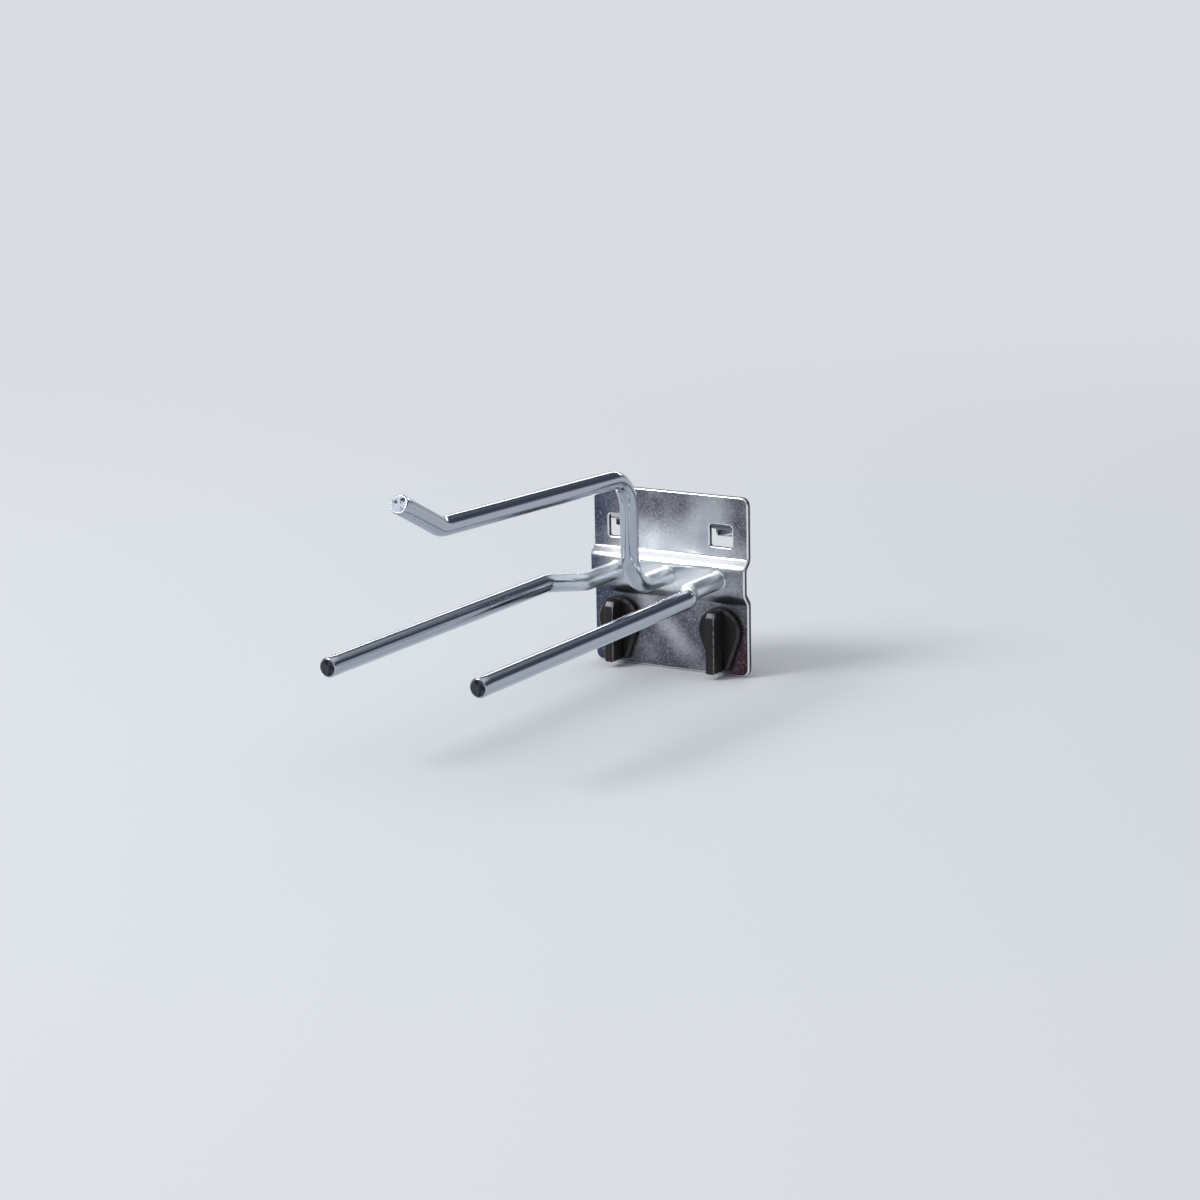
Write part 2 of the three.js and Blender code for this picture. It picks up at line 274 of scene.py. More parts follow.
class PliersHolderPlate(PropertyGroup):
    """Sizes and colours of the pressed back plate."""

    thickness: length("Thickness", "Thickness of the sheet steel", 2 * MM)
    width: length("Width", "Width of the plate", 58 * MM)
    top: length("Top", "Height of the top edge above the turn locks' centres", 44.6 * MM)
    bottom: length("Bottom", "Depth of the bottom edge below the turn locks' centres", 15 * MM)
    band_rise: length("Band rise", "How far the band stands forward", 2.7 * MM)
    # These two zinc colours are painted reflected light and painted shade, mixed by place
    bright: colour("Bright zinc", "Colour of the plating where it is bright", "f8f9fb")
    painted_shade: colour("Dull zinc", "Colour of the plating where it is dull", "63646f")
    # These two film tints are painted shade, coloured like the passivation film
    blue: colour("Blue film", "Tint of the passivated film towards the left edge", "3b435c")
    brown: colour("Brown film", "Tint of the passivated film at the lower right", "4e2b35")
    edge: colour("Burnished edge", "Colour of the burnished front rim of the cut edges", "f4f6f9")
    # The broken edge's dark tone is partly its own, partly painted shade
    fracture_and_shade: colour("Broken edge", "Colour of the rough back part of the cut edges", "4a4e57")


class PliersHolderRods(PropertyGroup):
    """Sizes and colours of the bent wire rods."""

    radius: length("Radius", "Radius of the wire", 3 * MM)
    arm_spread: length("Arm spread", "Half the distance between the lower arms", 26.2 * MM)
    arm_reach: length("Arm reach", "How far the lower arms stand out", 158.6 * MM)
    upper_height: length("Upper height", "Height of the upper arm above the locks", 54.2 * MM)
    upper_reach: length("Upper reach", "How far the upper arm runs before its tip", 136.1 * MM)
    bright: colour("Bright zinc", "Colour of the plated wire", "b6bcc6")
    frost: colour("Frosted zinc", "Colour of the matt plating near the plate", "e6edf2")
    # The end colour is partly the sheared steel's own grey, partly painted shade
    end: colour("Sheared end", "Colour of the sheared end faces", "484b52")
    torn: colour("Torn spots", "Colour of the torn spots on the end faces", "2b2d33")


class PliersHolderLocks(PropertyGroup):
    """Sizes and colours of the moulded turn locks."""

    skirt_radius: length("Skirt radius", "Radius of the round part of the skirt", 7.6 * MM)
    tail: length("Tail", "Length of the tail below the lock's centre", 13.3 * MM)
    fin_rise: length("Grip rise", "How far the grip stands out in front of the plate", 8.4 * MM)
    black: colour("Black", "Colour of the moulding", "171315")
    streak: colour("Streak", "Colour of the faint flow streaks", "3a302c")
    # Painted highlight on the grip's top facet and right front edge
    painted_highlight: colour("Scuffed edge", "Colour of the scuffed front edges", "8b8b93")
    # Painted highlight on the skirt's bevel
    highlighted: colour("Rubbed bevel", "Colour of the skirt's rubbed bevel", "393539")


class PliersHolderStage(PropertyGroup):
    """Colours and lights of the stage."""

    floor: colour("Floor", "Colour of the plain floor", "d9dce0")
    backdrop: colour("Backdrop", "Colour of the far floor and the horizon", "d9dce1")
    walls: colour("Walls", "Colour of the studio's dark walls above the horizon", "4b525f")
    ceiling: colour("Ceiling", "Colour of the studio's pale ceiling", "eef0f3")
    key_light: power("Key light", "Power of the light in front at the upper left", 40)
    rim_light: power("Rim light", "Power of the strip behind", 3)


# Bent paths


def bent_path(corners, radii):
    """Stations along the corners, each corner rounded: point, heading and distance run."""
    headings = [(after - before).normalized() for before, after in zip(corners, corners[1:])]
    stations = [(corners[0], headings[0], 0.0)]
    for corner, before, after, radius in zip(corners[1:-1], headings, headings[1:], radii):
        turn = before.angle(after)
        start = corner - before * radius * math.tan(turn / 2)
        inward = (after - before * before.dot(after)).normalized()
        run = stations[-1][2] + (start - stations[-1][0]).length
        for step in range(BEND_STEPS + 1):
            angle = turn * step / BEND_STEPS
            ahead = before * math.sin(angle) + inward * (1 - math.cos(angle))
            heading = before * math.cos(angle) + inward * math.sin(angle)
            stations.append((start + ahead * radius, heading, run + radius * angle))
    last = stations[-1]
    stations.append((corners[-1], headings[-1], last[2] + (corners[-1] - last[0]).length))
    return stations


def place_at(stations, run):
    """Point and heading at a distance along the path, or beyond its ends."""
    if run <= 0:
        return stations[0][0] + stations[0][1] * run, stations[0][1]
    for before, after in zip(stations, stations[1:]):
        if run <= after[2] and after[2] > before[2]:
            share = (run - before[2]) / (after[2] - before[2])
            return before[0].lerp(after[0], share), before[1].lerp(after[1], share).normalized()
    return stations[-1][0] + stations[-1][1] * (run - stations[-1][2]), stations[-1][1]


def run_at_height(stations, height):
    """Distance along an upward path at which it reaches the height."""
    for before, after in zip(stations, stations[1:]):
        low, high = before[0].z, after[0].z
        if low <= height <= high and high > low:
            return before[2] + (after[2] - before[2]) * (height - low) / (high - low)
    raise ValueError("the path doesn't reach that height")


# Meshes


def add_piece(name, bm, materials, place=Vector()):
    """Turns the drawn mesh into a smooth shaded object with its materials."""
    bmesh.ops.recalc_face_normals(bm, faces=bm.faces)
    mesh = bpy.data.meshes.new(name)
    bm.to_mesh(mesh)
    bm.free()
    mesh.shade_smooth()
    mesh.set_sharp_from_angle(angle=SHARP_ANGLE)
    for material in materials:
        mesh.materials.append(material)
    piece = bpy.data.objects.new(name, mesh)
    piece.location = place
    bpy.context.scene.collection.objects.link(piece)
    return piece


def even_shading(piece):
    """Keeps flat faces flat beside their rounded edges."""
    weighted = piece.modifiers.new("even_shading", "WEIGHTED_NORMAL")
    weighted.keep_sharp = True
    weighted.weight = FLAT_FACE_WEIGHT


def combine(piece, tools, sharp_angle):
    """Adds or cuts the tool solids and keeps the result as the piece's own mesh."""
    bpy.context.view_layer.update()
    for tool, operation in tools:
        joint = piece.modifiers.new("combine", "BOOLEAN")
        joint.object = tool
        joint.operation = operation
        joint.solver = "EXACT"
    evaluated = piece.evaluated_get(bpy.context.evaluated_depsgraph_get())
    mesh = bpy.data.meshes.new_from_object(evaluated)
    piece.modifiers.clear()
    piece.data = mesh
    mesh.shade_smooth()
    mesh.set_sharp_from_angle(angle=sharp_angle)
    for tool, _ in tools:
        bpy.data.objects.remove(tool)


def bridge(bm, lower, upper, material):
    """Joins two rings of equal count with a band of faces."""
    count = len(lower)
    for i in range(count):
        after = (i + 1) % count
        face = bm.faces.new((lower[i], lower[after], upper[after], upper[i]))
        face.material_index = material


def loft(rings):
    """A closed solid through rings of points, drawn in bands from the first ring to the last."""
    bm = bmesh.new()
    drawn = [[bm.verts.new(point) for point in ring] for ring in rings]
    for lower, upper in zip(drawn, drawn[1:]):
        bridge(bm, lower, upper, MAIN_FACE)
    bm.faces.new(list(reversed(drawn[0])))
    bm.faces.new(drawn[-1])
    return bm


def arc(centre, radius, start, end, steps):
    """Points on an arc in a plane, from one angle to another, in quarter turns."""
    angles = [math.pi / 2 * (start + (end - start) * i / steps) for i in range(steps + 1)]
    return [
        Vector((centre[0] + radius * math.cos(a), centre[1] + radius * math.sin(a))) for a in angles
    ]


def rounded_box(left, right, low, high, radius):
    """Outline of a box with rounded corners, drawn anticlockwise."""
    corners = [
        ((right - radius, low + radius), 3),
        ((right - radius, high - radius), 4),
        ((left + radius, high - radius), 5),
        ((left + radius, low + radius), 6),
    ]
    arcs = [arc(centre, radius, turn, turn + 1, CORNER_STEPS) for centre, turn in corners]
    return [point for points in arcs for point in points]


def inset_outline(points, distance):
    """The outline moved towards its left-hand side, with mitred corners."""
    moved = []
    count = len(points)
    for i, point in enumerate(points):
        before = (point - points[i - 1]).normalized()
        after = (points[(i + 1) % count] - point).normalized()
        left_before = Vector((-before.y, before.x))
        left_after = Vector((-after.y, after.x))
        mitre = (left_before + left_after) / (1 + left_before.dot(left_after))
        moved.append(point + mitre * distance)
    return moved


# Back plate


def edge_rings(half):
    """Inset and height of each ring from the front face over the rounded edge to the back."""
    rings = []
    for step in range(EDGE_STEPS + 1):
        angle = math.pi / 2 * step / EDGE_STEPS
        rings.append((
            SHEET_EDGE * (1 - math.sin(angle)),
            half - SHEET_EDGE * (1 - math.cos(angle)),
        ))
    return rings + [(inset, -height) for inset, height in reversed(rings)]


def cut_blank(outlines, half):
    """The flat blank with its holes, x across, y along the sheet and z towards the front."""
    bm = bmesh.new()
    faces_to_fill = ([], [])
    for outline in outlines:
        rings = []
        for inset, height in edge_rings(half):
            points = inset_outline(outline, inset)
            rings.append([bm.verts.new((p.x, p.y, height)) for p in points])
        for lower, upper in zip(rings, rings[1:]):
            bridge(bm, lower, upper, CUT_FACE)
        for edges, ring in zip(faces_to_fill, (rings[0], rings[-1])):
            for i, vert in enumerate(ring):
                edges.append(bm.edges.get((ring[i - 1], vert)))
    for edges in faces_to_fill:
        bmesh.ops.triangle_fill(bm, use_beauty=True, edges=edges)
    return bm


def cut_across(bm, run):
    """Cuts the blank across at a distance along it, so that it can be bent there."""
    everything = bm.verts[:] + bm.edges[:] + bm.faces[:]
    bmesh.ops.bisect_plane(
        bm, geom=everything, dist=CUT_REACH, plane_co=(0, run, 0), plane_no=(0, 1, 0)
    )


def bend(bm, path, offset):
    """Bends the flat blank along its path, and keeps where each point lay before."""
    for _, _, run in path[1:-1]:
        cut_across(bm, run)
    flat = bm.verts.layers.float_vector.new("before_bending")
    across = Vector((1, 0, 0))
    for vert in bm.verts:
        x, run, height = vert.co
        vert[flat] = (x, run + offset, height)
        point, heading = place_at(path, run)
        vert.co = point + across * x + across.cross(heading) * height


def pressed_path(sizes):
    """The middle of the sheet from the bottom edge over the band to the top edge."""
    half = sizes.thickness / 2
    raised = -half - sizes.band_rise
    profile = [
        (-half, -sizes.bottom),
        (-half, BAND_BOTTOM - BAND_BOTTOM_SLOPE),
        (raised, BAND_BOTTOM),
        (raised, BAND_TOP),
        (-half, BAND_TOP + BAND_TOP_SLOPE),
        (-half, sizes.top),
    ]
    return bent_path([Vector((0, y, z)) for y, z in profile], [SHEET_BEND] * 4)


def back_plate_mesh(sizes):
    """The blank is cut flat with its holes and then pressed, as the real one is made."""
    pressed = pressed_path(sizes)
    side = sizes.width / 2
    outlines = [rounded_box(-side, side, 0, pressed[-1][2], PLATE_CORNER)]
    low = run_at_height(pressed, WINDOW_BOTTOM)
    high = run_at_height(pressed, WINDOW_TOP)
    across = WINDOW_WIDTH / 2
    reach = LOCK_HOLE / 2
    for x in (-LOCK_SPREAD, LOCK_SPREAD):
        window = rounded_box(x - across, x + across, low, high, HOLE_CORNER)
        hole = rounded_box(
            x - reach, x + reach, sizes.bottom - reach, sizes.bottom + reach, HOLE_CORNER
        )
        outlines += [list(reversed(window)), list(reversed(hole))]
    # Holes are drawn clockwise, a round one from four quarter turns back to none
    for x in (-LOCK_SPREAD, 0, LOCK_SPREAD):
        centre = (x, run_at_height(pressed, ROD_HEIGHT))
        outlines.append(arc(centre, ROD_HOLE, 4, 0, WIRE_SIDES // 2)[:-1])
    bm = cut_blank(outlines, sizes.thickness / 2)
    bend(bm, pressed, 0)
    return bm


def hook_tab_mesh(sizes, middle):
    """A tab from its tip upwards, forward to the window and into the sheet above it."""
    half = TAB_THICKNESS / 2
    profile = [
        (TAB_LIP_FACE + half, TAB_TIP),
        (TAB_LIP_FACE + half, TAB_UNDERSIDE + half),
        (TAB_BACK - half, TAB_UNDERSIDE + half),
        (TAB_BACK - half, WINDOW_TOP + TAB_ROOT),
    ]
    path = bent_path([Vector((0, y, z)) for y, z in profile], [TAB_BEND] * 2)
    across = TAB_WIDTH / 2
    outline = rounded_box(middle - across, middle + across, 0, path[-1][2], HOLE_CORNER)
    bm = cut_blank([outline], half)
    bend(bm, path, run_at_height(pressed_path(sizes), WINDOW_BOTTOM))
    return bm


# Rods


def rod_rings(stations, radius):
    """Distance along the rod and radius of each ring, from the riveted head to the tip."""
    end = stations[-1][2]
    sheet = bpy.context.scene.pliers_holder_plate.thickness
    seat = -(sheet + SEAT_GAP * 2)
    head = seat - RIVET_HEIGHT
    rings = [
        (head, TENON_RADIUS),
        (head + RIVET_EDGE / 4, TENON_RADIUS + (RIVET_RADIUS - TENON_RADIUS) / 2),
        (head + RIVET_EDGE, RIVET_RADIUS - RIVET_EDGE / 4),
        (seat - RIVET_EDGE, RIVET_RADIUS),
        (seat, RIVET_RADIUS),
        (seat, TENON_RADIUS),
        (0, TENON_RADIUS),
        (0, COLLAR_RADIUS),
        (COLLAR_LENGTH - COLLAR_EDGE, COLLAR_RADIUS),
        (COLLAR_LENGTH, COLLAR_RADIUS - COLLAR_EDGE),
        (COLLAR_LENGTH, radius),
    ]
    for before, after in zip(stations, stations[1:]):
        parts = max(1, math.ceil((after[2] - before[2]) / ROD_FACET))
        for part in range(parts):
            run = before[2] + (after[2] - before[2]) * part / parts
            if COLLAR_LENGTH < run < end - TIP_CHAMFER:
                rings.append((run, radius))
    return rings + [(end - TIP_CHAMFER, radius), (end, radius - TIP_CHAMFER)]


def rod_mesh(stations, radius, frost_length):
    """One wire with its collar, the tenon through the band and the head riveted over behind."""
    bm = bmesh.new()
    straight = bm.verts.layers.float_vector.new("before_bending")
    frost = bm.verts.layers.float.new("frost")
    heading = stations[0][1]
    across = heading.orthogonal().normalized()
    drawn = []
    for run, ring_radius in rod_rings(stations, radius):
        point, ahead = place_at(stations, run)
        across = heading.rotation_difference(ahead) @ across
        heading = ahead
        beside = heading.cross(across)
        ring = []
        for side in range(WIRE_SIDES):
            angle = math.tau * side / WIRE_SIDES
            cosine, sine = math.cos(angle), math.sin(angle)
            vert = bm.verts.new(point + (across * cosine + beside * sine) * ring_radius)
            vert[straight] = (ring_radius * cosine, ring_radius * sine, run)
            vert[frost] = max(0.0, min(1.0, (1 - run / frost_length) * 2))
            ring.append(vert)
        drawn.append(ring)
    for lower, upper in zip(drawn, drawn[1:]):
        bridge(bm, lower, upper, MAIN_FACE)
    bm.faces.new(list(reversed(drawn[0])))
    bm.faces.new(drawn[-1]).material_index = CUT_FACE
    return bm


def rod_start():
    """Where each rod's shoulder lies, just in front of the band."""
    plate = bpy.context.scene.pliers_holder_plate
    return -(plate.thickness + plate.band_rise + SEAT_GAP)


def lower_arm_path(sizes, side):
    """Straight out of the band, outwards through the S-bend and straight on."""
    band = rod_start() + SEAT_GAP
    places = [
        (LOCK_SPREAD, rod_start(), 0),
        (LOCK_SPREAD, band - ARM_STRAIGHT, 0),
        (sizes.arm_spread, band - ARM_STRAIGHT - ARM_SLANT, ARM_LIFT),
        (sizes.arm_spread, -sizes.arm_reach, ARM_TIP_LIFT),
    ]
    corners = [Vector((side * x, y, ROD_HEIGHT + lift)) for x, y, lift in places]
    return bent_path(corners, [ARM_BEND, ARM_BEND])


def upper_arm_path(sizes):
    """Out of the band, up, out again, and turned up at the tip."""
    run_end = sizes.upper_height + UPPER_RISE
    places = [
        (rod_start(), ROD_HEIGHT),
        (-STUB_REACH, ROD_HEIGHT),
        (-STUB_REACH, sizes.upper_height),
        (-sizes.upper_reach, run_end),
        (-sizes.upper_reach - TIP_REACH, run_end + TIP_RISE),
    ]
    corners = [Vector((0, y, z)) for y, z in places]
    return bent_path(corners, [STUB_BEND, UPPER_BEND, TIP_BEND])


# Turn locks


def belt_outline(circles, inset):
    """Outline round a set of circles, as a belt would lie, moved inwards."""
    outline = []
    for i in range(BELT_STEPS):
        angle = math.tau * (i + 0.5) / BELT_STEPS
        outward = Vector((math.cos(angle), math.sin(angle)))
        centre, radius = max(circles, key=lambda c: c[0].dot(outward) + c[1])
        outline.append(centre + outward * (radius - inset))
    return outline


def rings_of(levels):
    """Rings of points from outlines at their depths, which grow towards the back."""
    return [[Vector((p.x, depth, p.y)) for p in outline] for depth, outline in levels]


def skirt_mesh(sizes, back):
    """Teardrop skirt that covers the plate's hole, its front edge bevelled."""
    front = back - SKIRT_THICKNESS
    tail = Vector((SKIRT_TAIL_HALF - SKIRT_TAIL_CORNER, SKIRT_TAIL_CORNER - sizes.tail))
    circles = [
        (Vector((0, 0)), sizes.skirt_radius),
        (tail, SKIRT_TAIL_CORNER),
        (Vector((-tail.x, tail.y)), SKIRT_TAIL_CORNER),
    ]
    levels = [
        (back, MOULD_EDGE),
        (back - MOULD_EDGE, 0),
        (front + SKIRT_EDGE + MOULD_EDGE / 2, 0),
        (front + SKIRT_EDGE - MOULD_EDGE / 2, MOULD_EDGE / 2),
        (front + MOULD_EDGE / 2, SKIRT_EDGE - MOULD_EDGE),
        (front, SKIRT_EDGE),
    ]
    bm = loft(rings_of([(depth, belt_outline(circles, inset)) for depth, inset in levels]))
    # The bevel gets the painted highlight
    for face in bm.faces:
        middle = face.calc_center_median()
        if front + MOULD_EDGE / 2 < middle.y < front + SKIRT_EDGE - MOULD_EDGE / 2:
            face.material_index = BEVEL_HIGHLIGHT_FACE
    return bm


def fin_outline(half, top, inset):
    """Outline of the grip across its depth."""
    x = half - FIN_CORNER
    heights = (top - FIN_CORNER, FIN_CORNER - FIN_BOTTOM)
    circles = [(Vector((side * x, z)), FIN_CORNER) for side in (1, -1) for z in heights]
    return belt_outline(circles, inset)


def fin_mesh(sizes, root):
    """The grip: an upright wing with draft, its front top edge cut off at a slant."""
    front = -bpy.context.scene.pliers_holder_plate.thickness - sizes.fin_rise
    low_top = FIN_TOP - FIN_TOP_CHAMFER
    levels = [
        (root, fin_outline(FIN_ROOT_HALF, FIN_TOP, 0)),
        (front + FIN_TOP_CHAMFER, fin_outline(FIN_FRONT_HALF, FIN_TOP, 0)),
        (front + FIN_FRONT_EDGE, fin_outline(FIN_FRONT_HALF, low_top, 0)),
        (front, fin_outline(FIN_FRONT_HALF, low_top, FIN_FRONT_EDGE)),
    ]
    bm = loft(rings_of(levels))
    # The top facet and the right front edge get the painted highlight
    for face in bm.faces:
        middle = face.calc_center_median()
        facet = middle.z > low_top and middle.y < front + FIN_TOP_CHAMFER
        at_right = middle.x > FIN_FRONT_HALF - FIN_FRONT_EDGE
        if facet or (at_right and middle.y < front + FIN_FRONT_EDGE):
            face.material_index = HIGHLIGHT_FACE
    return bm


def neck_mesh(start):
    """The round barrel through the plate's hole."""
    circle = belt_outline([(Vector((0, 0)), NECK_RADIUS)], 0)
    return loft(rings_of([(start, circle), (NOSE_START + MOULD_EDGE, circle)]))


def nose_mesh():
    """The square nose behind the plate, set on its corner so that it holds when shut."""
    turn = Matrix.Rotation(math.pi / 4, 2)

    def square(half, corner):
        return [turn @ p for p in rounded_box(-half, half, -half, half, corner)]

    levels = [
        (NOSE_START, square(NOSE_HALF - MOULD_EDGE, NOSE_CORNER - MOULD_EDGE)),
        (NOSE_START + MOULD_EDGE, square(NOSE_HALF, NOSE_CORNER)),
        (NOSE_START + NOSE_LENGTH, square(NOSE_HALF, NOSE_CORNER)),
        (NOSE_START + NOSE_LENGTH + NOSE_TAPER, square(NOSE_TIP_HALF, NOSE_TIP_CORNER)),
    ]
    return loft(rings_of(levels))


def slot_mesh(front, side):
    """A narrow slot in the skirt beside the grip's tail."""
    near = side * FIN_ROOT_HALF
    left, right = sorted((near, near + side * SLOT_WIDTH))
    corners = [(left, SLOT_BOTTOM), (right, SLOT_BOTTOM), (right, SLOT_TOP), (left, SLOT_TOP)]
    outline = [Vector(corner) for corner in corners]
    return loft(rings_of([(front + SLOT_DEPTH, outline), (front - SLOT_DEPTH, outline)]))


# Materials


def add_node(tree, kind, inputs=None, **settings):
    """Adds one node; each input is a plain value or the socket that it is linked to."""
    node = tree.nodes.new(kind)
    for name, value in settings.items():
        setattr(node, name, value)
    for key, value in (inputs or {}).items():
        if isinstance(value, bpy.types.NodeSocket):
            tree.links.new(value, node.inputs[key])
        else:
            node.inputs[key].default_value = value
    return node


def new_material(name):
    """An empty node material and its tree."""
    material = bpy.data.materials.new(name)
    material.use_nodes = True
    material.node_tree.nodes.clear()
    return material, material.node_tree


def opaque(colour_value):
    """A colour with full cover."""
    return (*colour_value, 1)


def soft_spot(tree, place, centre, reach, turn, strength):
    """Strength at the centre of an oval on the sheet, fading smoothly to nothing at its rim."""
    oval = add_node(
        tree,
        "ShaderNodeMapping",
        {"Vector": place, "Location": (*centre, 0), "Rotation": (0, 0, turn), "Scale": (*reach, 1)},
        vector_type="TEXTURE",
    )
    fall = add_node(
        tree,
        "ShaderNodeTexGradient",
        {"Vector": oval.outputs["Vector"]},
        gradient_type="SPHERICAL",
    )
    spot = add_node(
        tree,
        "ShaderNodeMapRange",
        {"Value": fall.outputs["Fac"], "To Max": strength},
        interpolation_type="SMOOTHSTEP",
    )
    return spot.outputs["Result"]


def long_streaks(tree, place, spacing, run, detail):
    """A pattern of streaks along z, with their real spacing and length."""
    stretched = add_node(
        tree,
        "ShaderNodeMapping",
        {"Vector": place, "Scale": (1 / spacing, 1 / spacing, 1 / run)},
    )
    streaks = add_node(
        tree,
        "ShaderNodeTexNoise",
        {"Vector": stretched.outputs["Vector"], "Scale": 1, "Detail": detail},
    )
    return streaks.outputs["Fac"]


def finish_surface(tree, base, tint, roughness, pattern, relief):
    """Ends a material: its base values, colour and roughness, and the pattern of its relief."""
    strength, depth = relief
    bump = add_node(
        tree, "ShaderNodeBump", {"Height": pattern, "Strength": strength, "Distance": depth}
    )
    inputs = {"Base Color": tint, "Roughness": roughness, "Normal": bump.outputs["Normal"]}
    surface = add_node(tree, "ShaderNodeBsdfPrincipled", {**base, **inputs})
    add_node(tree, "ShaderNodeOutputMaterial", {"Surface": surface.outputs["BSDF"]})


def finish_zinc(tree, share, colours, roughnesses, pattern, relief):
    """Ends a zinc material that a share takes from its first colour and roughness to its second."""
    first, second = colours
    zinc = add_node(
        tree,
        "ShaderNodeMix",
        {"Factor": share, "A": opaque(first), "B": opaque(second)},
        data_type="RGBA",
    )
    inputs = dict(zip(RANGE_INPUTS, (share, 0, 1, *roughnesses)))
    roughness = add_node(tree, "ShaderNodeMapRange", inputs).outputs["Result"]
    finish_surface(tree, METAL, zinc.outputs["Result"], roughness, pattern, relief)


def pressed_zinc_sheet(sizes):
    """Sheet steel, bright zinc plated and blue passivated after pressing.

    Satin and clouded, with painted highlights of reflected light round the band, painted shade
    elsewhere, painted glints on its crystals, and painted shade tinted blue and brown as a film.
    """
    material, tree = new_material("pressed_zinc_sheet")
    place = add_node(tree, "ShaderNodeAttribute", attribute_name="before_bending").outputs["Vector"]
    split = add_node(tree, "ShaderNodeSeparateXYZ", {"Vector": place})
    cloud = add_node(tree, "ShaderNodeTexNoise", {"Vector": place, "Scale": 1 / CLOUD, "Detail": 4})
    skin = add_node(
        tree,
        "ShaderNodeTexNoise",
        {"Vector": place, "Scale": 1 / SKIN_GRAIN, "Detail": 5, "Roughness": 0.7},
    )
    crystal = add_node(tree, "ShaderNodeTexVoronoi", {"Vector": place, "Scale": 1 / CRYSTAL})
    lot = add_node(tree, "ShaderNodeSeparateColor", {"Color": crystal.outputs["Color"]})
    patterns = {
        "cloud": cloud.outputs["Fac"],
        "skin": skin.outputs["Fac"],
        "crystal_lot": lot.outputs["Red"],
        "crystal_middle": crystal.outputs["Distance"],
    }

    # Painted highlights of reflected light, with lighter and darker clouds and a mottled skin
    half = sizes.width / 2
    height = sizes.top + sizes.bottom
    lights = [
        soft_spot(
            tree,
            place,
            (x * half, y * height),
            (across * half, up * height),
            math.radians(turn),
            strength,
        )
        for (x, y), (across, up), turn, strength in PAINTED_HIGHLIGHT_SHARES
    ]
    for name, shares in PATCH_SHARES.items():
        inputs = dict(zip(RANGE_INPUTS, (patterns[name], *shares)))
        patches = add_node(tree, "ShaderNodeMapRange", inputs)
        lights.append(patches.outputs["Result"])
    light = 0
    for share in lights:
        total = add_node(tree, "ShaderNodeMath", {0: light, 1: share}, operation="ADD")
        light = total.outputs["Value"]
    total.use_clamp = True
    zinc = add_node(
        tree,
        "ShaderNodeMix",
        {"Factor": light, "A": opaque(sizes.painted_shade), "B": opaque(sizes.bright)},
        data_type="RGBA",
    )

    # The blue painted shade is left out under the painted highlights
    left, right, lower = [
        add_node(
            tree,
            "ShaderNodeMapRange",
            dict(zip(RANGE_INPUTS, (split.outputs[axis], *fade))),
            interpolation_type="SMOOTHSTEP",
        ).outputs["Result"]
        for axis, fade in FILM_SHADE_FADES
    ]
    outside_highlights = add_node(tree, "ShaderNodeMath", {0: 1, 1: light}, operation="SUBTRACT")
    films = [(sizes.blue, left, outside_highlights.outputs["Value"]), (sizes.brown, right, lower)]
    tint = zinc.outputs["Result"]
    for film, across, along in films:
        cover = add_node(tree, "ShaderNodeMath", {0: across, 1: along}, operation="MULTIPLY")
        covered = add_node(
            tree,
            "ShaderNodeMix",
            {"Factor": cover.outputs["Value"], "A": tint, "B": opaque(film)},
            data_type="RGBA",
        )
        tint = covered.outputs["Result"]

    # Painted glints on the crystal grain: one crystal in three shines,
    # most at its middle and in patches, fewer in the light clouds
    painted_glint = 1
    for name, shares in GLINT_SHARES.items():
        inputs = dict(zip(RANGE_INPUTS, (patterns[name], *shares)))
        share = add_node(tree, "ShaderNodeMapRange", inputs)
        product = add_node(
            tree, "ShaderNodeMath", {0: painted_glint, 1: share.outputs["Result"]}, operation="MULTIPLY"
        )
        painted_glint = product.outputs["Value"]
    glinted = add_node(
        tree,
        "ShaderNodeMix",
        {"Factor": painted_glint, "A": tint, "B": opaque(sizes.bright)},
        data_type="RGBA",
    )
    inputs = dict(zip(RANGE_INPUTS, (light, *SHEET_ROUGHNESS_SHARES)))
    roughness = add_node(tree, "ShaderNodeMapRange", inputs).outputs["Result"]
    tint = glinted.outputs["Result"]
    finish_surface(tree, METAL, tint, roughness, patterns["skin"], SKIN_RELIEF)
    return material


def sheared_zinc_edge(sizes):
    """The sheet's cut edge, sheared from the front and zinc plated.

    Burnished bright along its rounded front rim, broken and rough behind it, and dark there,
    partly from its own tone and partly from painted shade.
    """
    material, tree = new_material("sheared_zinc_edge")
    place = add_node(tree, "ShaderNodeAttribute", attribute_name="before_bending").outputs["Vector"]
    split = add_node(tree, "ShaderNodeSeparateXYZ", {"Vector": place})
    rim_end = sizes.thickness / 2 - EDGE_RIM
    rim = add_node(
        tree,
        "ShaderNodeMapRange",
        {
            "Value": split.outputs["Z"],
            "From Min": rim_end - RIM_BLUR,
            "From Max": rim_end + RIM_BLUR,
        },
        interpolation_type="SMOOTHSTEP",
    )
    marks = add_node(
        tree, "ShaderNodeTexNoise", {"Vector": place, "Scale": 1 / SHEAR_MARK, "Detail": 2}
    )
    share = rim.outputs["Result"]
    colours = (sizes.fracture_and_shade, sizes.edge)
    finish_zinc(tree, share, colours, EDGE_ROUGHNESSES, marks.outputs["Fac"], SHEAR_RELIEF)
    return material


